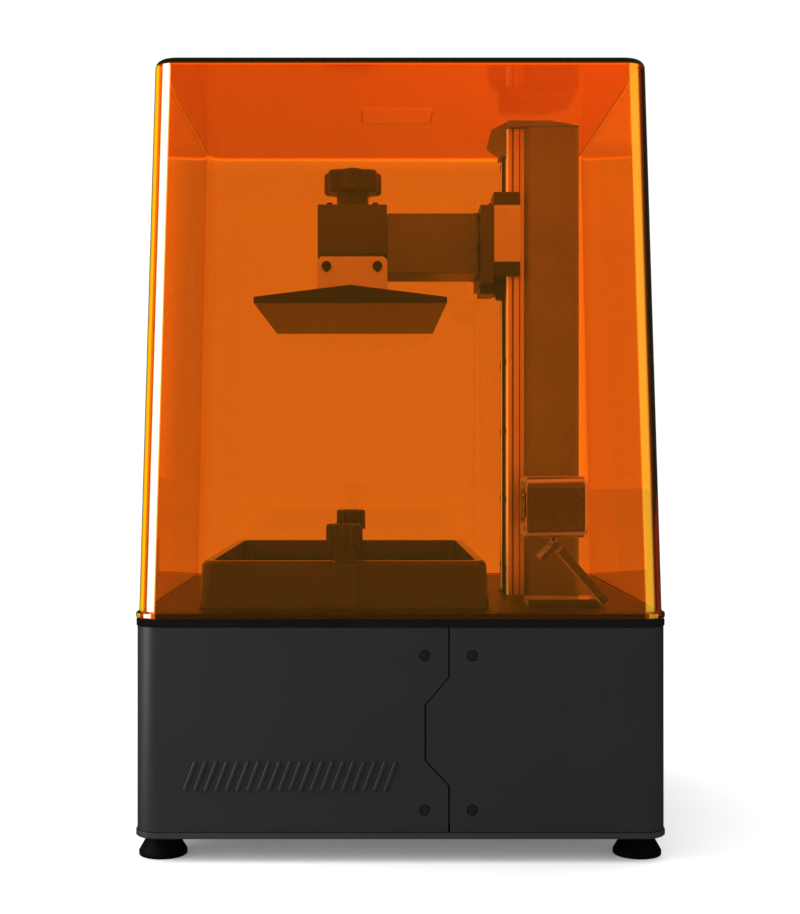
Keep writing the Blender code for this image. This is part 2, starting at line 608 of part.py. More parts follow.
def monitoring_camera():
    low = DECK_TOP + GAP
    base = [(0.1027, low), (0.1620, low), (0.1572, 0.1945), (0.1027, 0.1945)]
    base = prism(base, CAMERA_X - 0.0165, CAMERA_X + 0.0165, along_x)
    place("camera_stand_base", base, BLACK)
    arm = link_between(FOLD, (0.1287, 0.2341), 0.0165, 0.0031)
    place("camera_stand_arm", arm, BLACK, (CAMERA_X, *FOLD))
    link = prism(circle(0.0033, ELBOW, 12), CAMERA_X - 0.0165, CAMERA_X + 0.0165, along_x)
    link = place("camera_stand_link", link, BLACK, (CAMERA_X, *ELBOW))
    join(link, link_between(ELBOW, (0.1137, 0.2262), 0.0165, 0.0020), "link_bar")
    join(link, rod(0.0029, 0.2380, 0.2436, (CAMERA_X, ELBOW[0]), 12), "link_neck")

    def face(inset, place_y):
        outline = rounded(0.0275 - inset, 0.0243 - inset, 0.010 - inset / 2, (CAMERA_X, 0.2682), 4)
        return outline, place_y

    rings = [face(0.006, 0.1040), face(0.004, 0.1004), face(0.001, 0.1004), face(0.0, 0.1020)]
    rings += [face(0.0, 0.1465), face(0.003, 0.1494)]
    housing = loft(rings)
    swap = Matrix(((1, 0, 0, 0), (0, 0, 1, 0), (0, 1, 0, 0), (0, 0, 0, 1)))
    bmesh.ops.transform(housing, matrix=swap, verts=housing.verts)
    place("camera_housing", housing, BLACK, (CAMERA_X, ELBOW[0], 0.2439))


def main():
    clear_scene()
    bottom_pan()
    side_shells()
    top_plate()
    small_base_pieces()
    light_engine()
    fan()
    electronics()
    lift_drive()
    column_and_rails()
    carriage()
    clamp()
    plate_group()
    vat_group()
    cover()
    monitoring_camera()


main()
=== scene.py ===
"""The resin printer's looks: fine pieces, finishes, light and camera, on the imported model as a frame."""

import json
import math

import bmesh
import bpy
from mathutils import Matrix, Vector


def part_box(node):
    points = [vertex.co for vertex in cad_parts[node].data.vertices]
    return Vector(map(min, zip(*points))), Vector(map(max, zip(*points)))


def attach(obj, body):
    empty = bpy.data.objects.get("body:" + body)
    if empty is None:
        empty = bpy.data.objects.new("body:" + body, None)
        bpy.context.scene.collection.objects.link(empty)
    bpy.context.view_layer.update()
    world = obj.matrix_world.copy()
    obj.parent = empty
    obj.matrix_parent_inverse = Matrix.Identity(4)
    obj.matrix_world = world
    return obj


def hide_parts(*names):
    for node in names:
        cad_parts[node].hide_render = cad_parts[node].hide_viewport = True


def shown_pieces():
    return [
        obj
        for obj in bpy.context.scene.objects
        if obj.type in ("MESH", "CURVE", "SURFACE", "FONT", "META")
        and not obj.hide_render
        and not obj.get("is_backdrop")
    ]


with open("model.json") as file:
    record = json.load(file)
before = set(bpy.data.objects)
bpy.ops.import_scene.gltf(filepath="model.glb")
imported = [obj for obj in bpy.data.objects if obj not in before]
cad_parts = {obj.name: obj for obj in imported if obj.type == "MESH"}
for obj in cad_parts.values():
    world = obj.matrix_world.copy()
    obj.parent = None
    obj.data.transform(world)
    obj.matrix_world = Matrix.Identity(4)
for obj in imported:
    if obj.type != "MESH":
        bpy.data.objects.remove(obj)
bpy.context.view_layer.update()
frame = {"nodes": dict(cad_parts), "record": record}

# the surround, as directions and strengths
FLAG_DIRECTION = (-0.743, 0.669)  # x and y of the black flag, behind the printer
FLAG_EDGE = (0.885, 0.900)  # cosines between which the surround turns black
FLAG_DEPTH = 3  # light that has gone through this many surfaces no longer sees the flag
SURROUND = 1.05  # strength of the white surround
MIRRORED_SURROUND = 0.04  # its strength in plain reflections
ABOVE_EDGE, ABOVE_TURN, ABOVE_BOOST = (0.195, 0.215), (-0.06, 0.15), (0.5, 1.25)
BESIDE_BEHIND, BESIDE_TURN, BESIDE_BOOST = -0.7, (0.135, 0.15), 0.62

# the orange cover
ROOF_THICK = 0.005
ACRYLIC_IOR = 1.49
ABSORPTION, ABSORPTION_DENSITY = (0.925, 0.588, 0.0, 1.0), 907.0
UPRIGHT = 0.03  # a surface whose normal's z squared is less than this counts as upright
CEILING_BAND, CEILING_REACH = 0.0012, 0.0014  # how far below the ceiling its painted highlight is centred, and its reach
# strength and colour of the painted highlight: emission on the rounds near the height of the roof's underside
CEILING_HIGHLIGHT, CEILING_HIGHLIGHT_COLOUR = 2.0, (1.0, 0.24, 0.0)
# painted reflection: strength and colour of a faint emission veil over the whole cover
VEIL, VEIL_COLOUR = 0.009, (0.5, 1.0, 0.05)
CEILING_FROST = 0.12
# painted dark reflection: where and how dark the outer skin's base colour turns
DARK_EDGE, DARK_EDGE_COLOUR = (0.59, 0.63), (0.10, 0.004, 0.0)
BAND_BLUR = 0.02
# the part of a round that each painted highlight band covers, its colour and strength, and whether the normal's x
# and y differ in sign
EDGE_HIGHLIGHT_BANDS = (
    ((0.25, 0.57), (1.0, 1.0, 1.0), 1.0, True),
    ((0.74, 0.92), (1.0, 0.95, 0.0), 0.43, True),
    ((0.18, 0.57), (0.9, 0.92, 0.08), 0.26, False),
)

# places that the CAD's boxes do not give
PLATE_Y = -0.0392  # the clamp knob's axis
VAT_KNOB = (0.1615, -0.0434)
FOOT = (0.165, 0.184)
INLET_MIDDLE, INLET_HEIGHT = -0.125, 0.0515


# ---- camera, light and floor ----


def add_camera():
    data = bpy.data.cameras.new("camera")
    data.lens = 57.11
    data.sensor_width = 36.0
    data.shift_x = 0.0284
    data.shift_y = 0.0033
    data.clip_start = 0.01
    camera = bpy.data.objects.new("camera", data)
    camera.location = (1.292, -0.0203, 0.3057)
    camera.rotation_euler = (math.radians(90), 0, math.radians(90))
    bpy.context.scene.collection.objects.link(camera)
    bpy.context.scene.camera = camera


def add_softbox(name, place, aim, width, height, strength, only_glossy=False):
    """A rectangular lamp whose surface has that brightness, whatever its size."""
    data = bpy.data.lights.new(name, "AREA")
    data.shape = "RECTANGLE"
    data.size = width
    data.size_y = height
    data.energy = strength * width * height * math.pi
    lamp = bpy.data.objects.new(name, data)
    lamp.location = place
    lamp.rotation_euler = (Vector(aim) - Vector(place)).to_track_quat("-Z", "Y").to_euler()
    lamp.visible_camera = False
    lamp.visible_transmission = False
    lamp.visible_diffuse = not only_glossy
    bpy.context.scene.collection.objects.link(lamp)
    return lamp


def math_node(tree, operation, first, second, clamp=False):
    node = tree.nodes.new("ShaderNodeMath")
    node.operation = operation
    node.use_clamp = clamp
    for value, socket in ((first, node.inputs[0]), (second, node.inputs[1])):
        if isinstance(value, (int, float)):
            socket.default_value = value
        else:
            link(tree, value, socket)
    return node.outputs["Value"]


def split_places(tree, *kinds):
    """The X, Y and Z sockets of each named output of one texture coordinate node."""
    place = tree.nodes.new("ShaderNodeTexCoord")
    parts = []
    for kind in kinds:
        apart = tree.nodes.new("ShaderNodeSeparateXYZ")
        link(tree, place.outputs[kind], apart.inputs["Vector"])
        parts.append(apart.outputs)
    return parts


def absolute(tree, value):
    return math_node(tree, "ABSOLUTE", value, 0.0)


def compared(tree, value, middle, reach):
    """1 where the value is within reach of the middle, else 0."""
    node = math_node(tree, "COMPARE", value, middle)
    node.node.inputs[2].default_value = reach
    return node


def add_studio_world():
    """A white surround with a black flag behind the printer, and hardly any of it in plain reflections."""
    world = bpy.data.worlds.new("studio")
    world.use_nodes = True
    tree = world.node_tree
    background = tree.nodes["Background"]
    background.inputs["Color"].default_value = (1.0, 1.0, 1.0, 1.0)
    direction, = split_places(tree, "Generated")
    towards = [math_node(tree, "MULTIPLY", direction[axis], share) for axis, share in zip("XY", FLAG_DIRECTION)]
    towards = math_node(tree, "ADD", *towards)
    flag = ranged(tree, towards, 0.0, 1.0, FLAG_EDGE)
    path = tree.nodes.new("ShaderNodeLightPath")
    shallow = math_node(tree, "LESS_THAN", path.outputs["Transmission Depth"], FLAG_DEPTH)
    flag = math_node(tree, "MULTIPLY", flag, shallow)
    behind = math_node(tree, "LESS_THAN", direction["X"], BESIDE_BEHIND)
    turn = math_node(tree, "DIVIDE", direction["Y"], math_node(tree, "MULTIPLY", direction["X"], -1.0))
    open_sky = math_node(tree, "SUBTRACT", 1.0, flag)
    seen = math_node(tree, "MAXIMUM", open_sky, path.outputs["Is Camera Ray"])
    above = math_node(tree, "MULTIPLY", ranged(tree, direction["Z"], 0.0, 1.0, ABOVE_EDGE),
                      ranged(tree, direction["Y"], *ABOVE_BOOST, ABOVE_TURN))
    beside = math_node(tree, "MULTIPLY", ranged(tree, turn, 0.0, BESIDE_BOOST, BESIDE_TURN), behind)
    boost = math_node(tree, "MAXIMUM", above, beside)
    boost = math_node(tree, "MULTIPLY", boost, path.outputs["Is Transmission Ray"])
    lit = math_node(tree, "MULTIPLY", seen, math_node(tree, "ADD", boost, SURROUND))
    link(tree, lit, background.inputs["Strength"])
    mirrored = tree.nodes.new("ShaderNodeBackground")
    mirrored.inputs["Color"].default_value = (1.0, 1.0, 1.0, 1.0)
    mirrored.inputs["Strength"].default_value = MIRRORED_SURROUND
    glossy, through = path.outputs["Is Glossy Ray"], path.outputs["Is Transmission Ray"]
    mix = tree.nodes.new("ShaderNodeMixShader")
    link(tree, math_node(tree, "SUBTRACT", glossy, through, clamp=True), mix.inputs["Fac"])
    link(tree, background.outputs["Background"], mix.inputs[1])
    link(tree, mirrored.outputs["Background"], mix.inputs[2])
    link(tree, mix.outputs["Shader"], tree.nodes["World Output"].inputs["Surface"])
    bpy.context.scene.world = world


def add_light():
    add_studio_world()
    middle = (0.0, 0.0, 0.32)
    outside = bpy.data.collections.new("outside_pieces")
    key = add_softbox("front_key", (0.36, -0.62, 0.30), (0.19, -0.12, 0.12), 0.3, 0.6, 5.0)
    overhead = add_softbox("overhead", (0.0, 0.0, 2.6), middle, 3.0, 3.0, 0.9)
    for lamp in (key, overhead):
        lamp.light_linking.receiver_collection = outside
    glint = bpy.data.collections.new("glinting_pieces")
    for name, spot, aim, width, height, strength in (
        ("side_glint", (0.3, -2.4, 0.45), (0.0, 0.1, 0.40), 0.8, 1.6, 2.6),
        ("top_glint", (0.3, 0.0, 2.8), (0.0, 0.0, 0.25), 1.6, 1.6, 1.6),
    ):
        lamp = add_softbox(name, spot, aim, width, height, strength, True)
        lamp.light_linking.receiver_collection = glint
    bpy.context.scene.view_settings.view_transform = "Standard"


def add_floor():
    bm = bmesh.new()
    bmesh.ops.create_grid(bm, x_segments=2, y_segments=2, size=14)
    mesh = bpy.data.meshes.new("floor")
    bm.to_mesh(mesh)
    bm.free()
    floor = bpy.data.objects.new("floor", mesh)
    bpy.context.scene.collection.objects.link(floor)
    paper = textured("floor_paper", (0.93, 0.93, 0.93), 0.9, grain=60, spread=0.01)
    shader = paper.node_tree.nodes["Principled BSDF"]
    shader.inputs["Emission Color"].default_value = (1.0, 1.0, 1.0, 1.0)
    shader.inputs["Emission Strength"].default_value = 0.16
    floor.data.materials.append(paper)
    floor.visible_glossy = False
    floor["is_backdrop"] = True


# ---- node material helpers ----


def new_tree(name):
    made = bpy.data.materials.new(name)
    made.use_nodes = True
    tree = made.node_tree
    return made, tree, tree.nodes["Principled BSDF"]


def link(tree, source, target):
    tree.links.new(source, target)


def noise(tree, scale, detail=4.0, stretch=(1, 1, 1)):
    """A noise's value over the object's own coordinates."""
    place = tree.nodes.new("ShaderNodeTexCoord")
    mapping = tree.nodes.new("ShaderNodeMapping")
    mapping.inputs["Scale"].default_value = stretch
    texture = tree.nodes.new("ShaderNodeTexNoise")
    texture.inputs["Scale"].default_value = scale
    texture.inputs["Detail"].default_value = detail
    link(tree, place.outputs["Object"], mapping.inputs["Vector"])
    link(tree, mapping.outputs["Vector"], texture.inputs["Vector"])
    return texture.outputs["Fac"]


def ranged(tree, value, low, high, source=(0.3, 0.7)):
    node = tree.nodes.new("ShaderNodeMapRange")
    node.inputs["From Min"].default_value = source[0]
    node.inputs["From Max"].default_value = source[1]
    node.inputs["To Min"].default_value = low
    node.inputs["To Max"].default_value = high
    link(tree, value, node.inputs["Value"])
    return node.outputs["Result"]


def mixed(tree, share, first, second):
    """A colour between two, which are colours or sockets."""
    node = tree.nodes.new("ShaderNodeMix")
    node.data_type = "RGBA"
    link(tree, share, node.inputs[0])
    for value, socket in ((first, node.inputs[6]), (second, node.inputs[7])):
        if isinstance(value, tuple):
            socket.default_value = (*value, 1.0)
        else:
            link(tree, value, socket)
    return node.outputs[2]


def bumped(tree, shader, height, strength, distance):
    node = tree.nodes.new("ShaderNodeBump")
    node.inputs["Strength"].default_value = strength
    node.inputs["Distance"].default_value = distance
    link(tree, height, node.inputs["Height"])
    link(tree, node.outputs["Normal"], shader.inputs["Normal"])


def darker(colour, share):
    return tuple(channel * share for channel in colour)


def textured(name, colour, rough, metal=0.0, grain=900.0, spread=0.12, bump=0.1, stretch=(1, 1, 1), coat=0.0,
             coat_ior=1.5, gloss=0.35, sheen=0.0):
    """A finish with fine grain, blotches of colour and an uneven gloss."""
    made, tree, shader = new_tree(name)
    shader.inputs["Specular IOR Level"].default_value = gloss
    shader.inputs["Sheen Weight"].default_value = sheen
    shader.inputs["Sheen Roughness"].default_value = 0.3
    shader.inputs["Sheen Tint"].default_value = (1.0, 0.85, 0.7, 1.0)
    patches = ranged(tree, noise(tree, 14.0), 0.0, 1.0)
    colour_out = mixed(tree, patches, darker(colour, 1 - spread), darker(colour, 1 + spread))
    link(tree, colour_out, shader.inputs["Base Color"])
    fine = noise(tree, grain, 3.0, stretch)
    link(tree, ranged(tree, fine, rough * 0.85, min(rough * 1.15, 1.0)), shader.inputs["Roughness"])
    if bump:
        bumped(tree, shader, fine, bump, 0.0002)
    shader.inputs["Metallic"].default_value = metal
    shader.inputs["Coat Weight"].default_value = coat
    shader.inputs["Coat Roughness"].default_value = 0.08
    shader.inputs["Coat IOR"].default_value = coat_ior
    return made


def acrylic():
    """Clear orange acrylic, coloured by how far light goes through it, with painted highlights and a painted
    reflection veil as emission, and painted dark reflection on some of its outer faces.
    """
    made, tree, shader = new_tree("orange_acrylic")
    shader.inputs["Transmission Weight"].default_value = 1.0
    shader.inputs["IOR"].default_value = ACRYLIC_IOR
    body = tree.nodes.new("ShaderNodeVolumeAbsorption")
    body.inputs["Color"].default_value = ABSORPTION
    body.inputs["Density"].default_value = ABSORPTION_DENSITY
    link(tree, body.outputs["Volume"], tree.nodes["Material Output"].inputs["Volume"])

    normal, spot = split_places(tree, "Normal", "Object")
    outward = [math_node(tree, "MULTIPLY", normal[axis], spot[axis]) for axis in "XY"]
    outward = math_node(tree, "GREATER_THAN", math_node(tree, "ADD", *outward), 0.0)
    tilt = math_node(tree, "MULTIPLY", normal["Z"], normal["Z"])
    outer = math_node(tree, "MULTIPLY", outward, math_node(tree, "LESS_THAN", tilt, UPRIGHT))
    on_left = math_node(tree, "LESS_THAN", math_node(tree, "MULTIPLY", normal["X"], normal["Y"]), 0.0)
    on_right = math_node(tree, "SUBTRACT", 1.0, on_left)
    across = absolute(tree, normal["Y"])

    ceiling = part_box("cover")[1][2] - ROOF_THICK
    near_ceiling = compared(tree, spot["Z"], ceiling - CEILING_BAND, CEILING_REACH)
    # painted highlight: emission on the rounds near the height of the roof's underside
    level = math_node(tree, "MULTIPLY", tilt, math_node(tree, "SUBTRACT", 1.0, tilt))
    level = math_node(tree, "MULTIPLY", level, near_ceiling)
    # painted reflection: a faint emission veil over the whole cover, added to the roof's painted highlight
    strength = math_node(tree, "ADD", math_node(tree, "MULTIPLY", level, CEILING_HIGHLIGHT), VEIL)
    colour = mixed(tree, near_ceiling, VEIL_COLOUR, CEILING_HIGHLIGHT_COLOUR)
    # painted highlights: emission bands on the upright outer rounds of the corners
    for (low, high), shade, bright, is_left in EDGE_HIGHLIGHT_BANDS:
        rising = ranged(tree, across, 0.0, 1.0, (low - BAND_BLUR, low + BAND_BLUR))
        falling = ranged(tree, across, 1.0, 0.0, (high - BAND_BLUR, high + BAND_BLUR))
        corner = math_node(tree, "MULTIPLY", on_left if is_left else on_right, outer)
        band = math_node(tree, "MULTIPLY", math_node(tree, "MULTIPLY", rising, falling), corner)
        colour = mixed(tree, band, colour, shade)
        strength = math_node(tree, "ADD", strength, math_node(tree, "MULTIPLY", band, bright))
    link(tree, colour, shader.inputs["Emission Color"])
    link(tree, strength, shader.inputs["Emission Strength"])

    # painted dark reflection: the outer skin's base colour turns near black where its normal points mostly along Y,
    # except where the normal's x and y differ in sign
    dark_edge = math_node(tree, "MULTIPLY", ranged(tree, across, 0.0, 1.0, DARK_EDGE),
                          math_node(tree, "MULTIPLY", on_right, outer))
    link(tree, mixed(tree, dark_edge, (1.0, 1.0, 1.0), DARK_EDGE_COLOUR), shader.inputs["Base Color"])
    frosted = compared(tree, spot["Z"], ceiling, 0.0002)
    link(tree, math_node(tree, "MULTIPLY", frosted, CEILING_FROST), shader.inputs["Roughness"])
    return made


def brushed(name, colour, rough, stretch, grain=260.0):
    return textured(name, colour, rough, metal=1.0, grain=grain, spread=0.06, bump=0.12, stretch=stretch)


def ground_rail(name, colour):
    """Steel ground along Z in fine upright streaks, with painted highlights on the front bevels and painted shade in
    the grooves.
    """
    made, tree, shader = new_tree(name)
    streaks = ranged(tree, noise(tree, 1.0, 2.0, (700, 700, 0.3)), 0.0, 1.0, (0.35, 0.65))
    normal, spot = split_places(tree, "Normal", "Object")
    slope = math_node(tree, "MULTIPLY", absolute(tree, normal["X"]), absolute(tree, normal["Y"]))
    low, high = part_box("rail_right")
    at_front = math_node(tree, "LESS_THAN", spot["Y"], low[1] + 0.002)
    bevel_highlight = math_node(tree, "MULTIPLY", ranged(tree, slope, 0.0, 1.0, (0.15, 0.35)), at_front)
    # painted shade: the grooves in the flanks are darkened
    off_middle = math_node(tree, "SUBTRACT", absolute(tree, spot["X"]), (low[0] + high[0]) / 2)
    inset = math_node(tree, "SUBTRACT", (high[0] - low[0]) / 2, absolute(tree, off_middle))
    groove = math_node(tree, "MULTIPLY", ranged(tree, inset, 0.0, 1.0, (0.0004, 0.0010)),
                       math_node(tree, "GREATER_THAN", spot["Y"], low[1] + 0.003))
    face = mixed(tree, streaks, darker(colour, 0.9), colour)
    face = mixed(tree, groove, face, darker(colour, 0.25))
    # painted highlight: the front bevels get a light colour and emission
    link(tree, mixed(tree, bevel_highlight, face, (1.0, 1.0, 0.8)), shader.inputs["Base Color"])
    link(tree, ranged(tree, streaks, 0.36, 0.30), shader.inputs["Roughness"])
    shader.inputs["Emission Color"].default_value = (1.0, 1.0, 0.7, 1.0)
    link(tree, math_node(tree, "MULTIPLY", bevel_highlight, 0.5), shader.inputs["Emission Strength"])
    shader.inputs["Metallic"].default_value = 0.6
    return made


def highlighted_edges(name, colour, edge, rough, bright):
    """A coated housing whose rounded edges get a lighter colour and a faint emission: painted highlights."""
    made = textured(name, colour, rough, grain=700, bump=0.0, coat=1.0, coat_ior=1.7, sheen=1.0)
    tree = made.node_tree
    shader = tree.nodes["Principled BSDF"]
    normal, = split_places(tree, "Normal")
    most = 0.0
    for axis in "XYZ":
        most = math_node(tree, "MAXIMUM", most, absolute(tree, normal[axis]))
    # painted highlight: lighter colour and emission where the normal lies between the axes
    painted_highlight = ranged(tree, most, 1.0, 0.0, (0.74, 0.90))
    plain = shader.inputs["Base Color"].links[0].from_socket
    link(tree, mixed(tree, painted_highlight, plain, edge), shader.inputs["Base Color"])
    shader.inputs["Emission Color"].default_value = (*edge, 1.0)
    link(tree, math_node(tree, "MULTIPLY", painted_highlight, bright), shader.inputs["Emission Strength"])
    return made


FINISHES = {
    "orange_acrylic": acrylic,
    "dark_shell": lambda: textured("dark_shell", (0.0155, 0.0155, 0.0158), 0.45, grain=1500, spread=0.05, bump=0.03),
    "edge_strip": lambda: textured("edge_strip", (0.024, 0.024, 0.025), 0.38, grain=1200, bump=0.08),
    "black_plastic": lambda: textured("black_plastic", (0.040, 0.046, 0.040), 0.4, grain=1400, bump=0.02),
    "black_rubber": lambda: textured("black_rubber", (0.002, 0.002, 0.002), 0.6, grain=700, bump=0.05, gloss=0.06),
    "black_steel": lambda: textured("black_steel", (0.02, 0.02, 0.02), 0.35, metal=0.6, grain=900),
    "dark_glass": lambda: textured("dark_glass", (0.006, 0.006, 0.008), 0.08, grain=40, bump=0.0, coat=0.5),
    "picture_glass": lambda: textured("picture_glass", (0.012, 0.016, 0.026), 0.05, grain=60, bump=0.0, coat=1.0),
    # the parts' own dark grey, raised as painted light for the inside of the cover, which the lamps hardly reach
    "anodised": lambda: textured("anodised", (0.085, 0.105, 0.088), 0.42, metal=0.2, grain=900, spread=0.06,
                                 bump=0.01),
    "vat_grey": lambda: textured("vat_grey", (0.010, 0.016, 0.012), 0.38, grain=700, bump=0.01, coat=0.8),
    # the camera's grey, with painted highlights on its rounded edges
    "camera_grey": lambda: highlighted_edges("camera_grey", (0.018, 0.016, 0.018), (0.70, 0.55, 0.50), 0.3, 0.20),
    # a lighter version of the anodised finish: painted light on the column and its cap
    "column_grey": lambda: textured("column_grey", (0.35, 0.38, 0.35), 0.42, metal=0.2, grain=900, bump=0.01),
    "bare_aluminium": lambda: brushed("bare_aluminium", (0.70, 0.66, 0.64), 0.34, (1, 8, 1)),
    "rail_steel": lambda: ground_rail("rail_steel", (1.0, 0.75, 0.62)),
    "deck_black": lambda: textured("deck_black", (0.006, 0.005, 0.005), 0.42, grain=1100, bump=0.01, gloss=0.2),
    "plate_black": lambda: textured("plate_black", (0.015, 0.028, 0.020), 0.45, metal=0.1, grain=1300, bump=0.02),
    # a lighter version of the anodised finish: painted light on the arm
    "arm_grey": lambda: textured("arm_grey", (0.20, 0.235, 0.20), 0.42, metal=0.2, grain=900, bump=0.01),
    "steel": lambda: brushed("steel", (0.55, 0.54, 0.53), 0.25, (8, 8, 0.3)),
    "motor_black": lambda: textured("motor_black", (0.02, 0.02, 0.02), 0.4, grain=800),
    "board_green": lambda: textured("board_green", (0.02, 0.13, 0.05), 0.45, grain=500, bump=0.3),
    "clear_film": lambda: textured("clear_film", (0.30, 0.30, 0.31), 0.2, grain=90, bump=0.05),
}
made_finishes = {}


def finish_of(slot):
    if slot not in made_finishes:
        made_finishes[slot] = FINISHES[slot]()
    return made_finishes[slot]


# ---- mesh helpers ----


def piece(name, bm, slot, body, bevel=0.0, smooth=40.0, material=None):
    """A finished piece of its own that rides on a CAD body."""
    bmesh.ops.recalc_face_normals(bm, faces=bm.faces)
    mesh = bpy.data.meshes.new(name)
    bm.to_mesh(mesh)
    bm.free()
    mesh.shade_smooth()
    mesh.set_sharp_from_angle(angle=math.radians(smooth))
    made = bpy.data.objects.new(name, mesh)
    bpy.context.scene.collection.objects.link(made)
    mesh.materials.append(material or finish_of(slot))
    if bevel:
        soften(made, bevel)
    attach(made, body)
    return made


def soften(item, width, segments=2):
    """Rounds an item's sharp edges."""
    weld = item.modifiers.new("weld", "WELD")
    weld.merge_threshold = 0.00001
    bevel = item.modifiers.new("bevel", "BEVEL")
    bevel.width = width
    bevel.segments = segments
    bevel.limit_method = "ANGLE"
    bevel.angle_limit = math.radians(40)
    bevel.use_clamp_overlap = True
    flatten_normals(item)


def flatten_normals(item):
    """Large faces shade flat, and only the rounds between them bend the light."""
    normals = item.modifiers.new("normals", "WEIGHTED_NORMAL")
    normals.mode = "FACE_AREA"
    normals.weight = 100
    normals.keep_sharp = True


def rounded(half_x, half_y, radius, middle=(0.0, 0.0), steps=12):
    """Points of a rounded rectangle, anticlockwise from +X."""
    points = []
    for quarter, (side_x, side_y) in enumerate([(1, 1), (-1, 1), (-1, -1), (1, -1)]):
        centre_x = middle[0] + side_x * (half_x - radius)
        centre_y = middle[1] + side_y * (half_y - radius)
        for step in range(steps + 1):
            turn = math.radians(90 * (quarter + step / steps))
            points.append((centre_x + radius * math.cos(turn), centre_y + radius * math.sin(turn)))
    return points


def loft(rings, bm=None, around_too=False):
    """Joins rings of (x, y, z) points into one skin."""
    bm = bm or bmesh.new()
    loops = [[bm.verts.new(point) for point in ring] for ring in rings]
    pairs = list(zip(loops, loops[1:]))
    if around_too:
        pairs.append((loops[-1], loops[0]))
    else:
        bm.faces.new(loops[0])
        bm.faces.new(loops[-1])
    for first, second in pairs:
        for index in range(len(first)):
            after = (index + 1) % len(first)
            bm.faces.new((first[index], first[after], second[after], second[index]))
    return bm


def at_height(outline, height):
    return [(x, y, height) for x, y in outline]


def turned(profile, middle, steps=48, bm=None):
    """Rings of (radius, height) points about an upright axis."""
    rings = []
    for radius, height in profile:
        ring = []
        for step in range(steps):
            turn = math.tau * step / steps
            ring.append((middle[0] + radius * math.cos(turn), middle[1] + radius * math.sin(turn), height))
        rings.append(ring)
    return loft(rings, bm)


def placed(bm, matrix):
    bmesh.ops.transform(bm, matrix=matrix, verts=bm.verts)
    return bm


def arc(low, high, steps):
    return [math.radians(low + (high - low) * step / steps) for step in range(steps + 1)]


# ---- cover ----


def cover_piece():
    """The acrylic cover, with the CAD cover's sizes and finer rounds."""
    low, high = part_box("cover")
    flange_top = low[2] + 0.0042
    top = high[2]
    half_x, half_y = (high[0] - low[0]) / 2, (high[1] - low[1]) / 2
    slope = 0.011 / (top - flange_top)
    wall_thick, round_edge = 0.003, 0.0065

    def wall(height, inset=0.0):
        drawn_in = slope * (height - flange_top) + inset
        outline = rounded(half_x - 0.0022 - drawn_in, half_y - 0.0022 - drawn_in, 0.018 - inset)
        return at_height(outline, height)

    rings = []
    for inset, drop in ((0.0030, 0.0005), (0.0012, 0.0005), (0.0006, 0.0004), (0.0002, 0.0001), (0.0, 0.0)):
        rings.append(at_height(rounded(0.0305 - inset, 0.0315 - inset, 0.009 - inset / 2), top - drop))
    for turn in arc(90, 0, 8):
        height = top - round_edge + round_edge * math.sin(turn)
        rings.append(wall(height, round_edge - round_edge * math.cos(turn)))
    rings.append(wall(flange_top + 0.0012))
    rings.append(wall(flange_top + 0.0003, -0.0004))
    for inset, height in ((0.0006, flange_top), (0.0, flange_top - 0.0006), (0.0, low[2] + 0.0005)):
        rings.append(at_height(rounded(half_x - inset, half_y - inset, 0.0185), height))
    rings.append(at_height(rounded(half_x - 0.0004, half_y - 0.0004, 0.0183), low[2]))
    rings.append(at_height(rounded(0.1893, 0.1975, 0.0145), low[2]))
    rings.append(wall(0.194, wall_thick))
    inner_round = 0.002
    for turn in arc(0, 90, 5):
        height = top - ROOF_THICK - inner_round + inner_round * math.sin(turn)
        rings.append(wall(height, wall_thick + inner_round - inner_round * math.cos(turn)))
    cover = piece("cover_shell", loft(rings), "orange_acrylic", "hood", smooth=30)
    cover.visible_shadow = False
    flatten_normals(cover)
    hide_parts("cover")


# ---- base details ----


def side_ribs():
    """Twenty slanted round-ended ribs on each side of the front shell."""
    low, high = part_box("front_shell")
    pitch, width, height, count = 0.008, 0.0034, 0.0013, 20
    foot, head = Vector((-0.1636, 0.0560)), Vector((-0.1560, 0.0761))
    along = (head - foot).normalized()
    across = Vector((along.y, -along.x))
    levels = ((1.0, -0.0003), (1.0, 0.0), (0.92, 0.5 * height), (0.70, 0.86 * height), (0.35, height))
    for side, name in ((-1, "left"), (1, "right")):
        face = side * high[0]
        bm = bmesh.new()
        for index in range(count):
            shift = Vector((pitch * index, 0))
            rings = []
            for share, lift in levels:
                radius = width / 2 * share
                ring = []
                for middle, start in ((head + shift, 0), (foot + shift, 180)):
                    for turn in arc(start, start + 180, 8):
                        point = middle + radius * (across * math.cos(turn) + along * math.sin(turn))
                        ring.append((face + side * lift, point.x, point.y))
                rings.append(ring)
            loft(rings, bm)
        piece(f"side_ribs_{name}", bm, "dark_shell", "base", smooth=50)


def foot_pieces():
    for y_name, side_y in (("front", -1), ("rear", 1)):
        for x_name, side_x in (("left", -1), ("right", 1)):
            node = f"leveling_foot_{y_name}_{x_name}"
            middle = (side_x * FOOT[0], side_y * FOOT[1])
            profile = [(0.0176, 0.0), (0.0183, 0.0003), (0.0187, 0.001), (0.0187, 0.0036), (0.0183, 0.0043)]
            profile += [(0.0150, 0.0100), (0.0118, 0.0160), (0.0107, 0.0180), (0.0105, 0.0182)]
            foot = piece(node + "_rubber", turned(profile, middle), "black_rubber", f"foot_{y_name}_{x_name}")
            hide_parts(node)


# ---- knobs ----


def lobed(middle, profile, radius, depth, lobes, steps):
    """A turned knob whose rim waves in and out; profile holds (share of radius, height)."""
    rings = []
    for share, height in profile:
        ring = []
        for step in range(steps):
            turn = math.tau * step / steps
            wave = math.cos(lobes * turn)
            reach = share * (radius - depth * (1 - wave) / 2)
            ring.append((middle[0] + reach * math.cos(turn), middle[1] + reach * math.sin(turn), height))
        rings.append(ring)
    return loft(rings)


